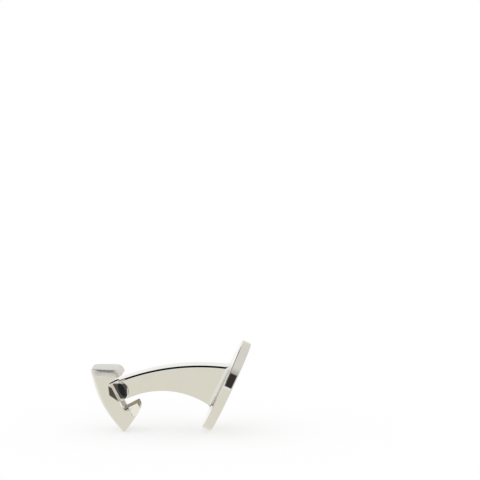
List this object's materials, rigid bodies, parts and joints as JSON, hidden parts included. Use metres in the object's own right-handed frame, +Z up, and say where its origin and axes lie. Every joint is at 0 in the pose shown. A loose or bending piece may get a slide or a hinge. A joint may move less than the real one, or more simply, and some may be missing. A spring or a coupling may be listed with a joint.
{
  "type": "cufflink",
  "caption": "Plain round-faced cufflink with a bowed bar and a swivelling boat-shaped toggle, standing on its rim and toggle tip.",
  "frame": {"origin": "on the ground, under the middle of the standing cufflink's bounding box", "axes": "+X from the toggle to the face, +Y from the near side to the far side, +Z up as it stands"},
  "size_m": [0.0264, 0.016, 0.015],
  "materials": {
    "polished_face": "mirror-polished warm silver",
    "polished_bar": "mirror-polished warm silver",
    "polished_toggle": "mirror-polished warm silver",
    "polished_bracket": "mirror-polished warm silver",
    "pin_steel": "polished flush with the ears",
    "spring_steel": "plain spring steel"
  },
  "bodies": {
    "front": {"face_disc": "polished_face", "curved_bar": "polished_bar"},
    "toggle": {"toggle_body": "polished_toggle", "hinge_bracket": "polished_bracket", "hinge_pin": "pin_steel", "leaf_spring": "spring_steel"}
  },
  "joints": [
    {"name": "toggle_swivel", "type": "hinge", "parent": "front", "child": "toggle", "pos_m": [-0.00862, 0, 0.00671], "axis": [0, -1, 0], "range_deg": [-2, 64]}
  ]
}
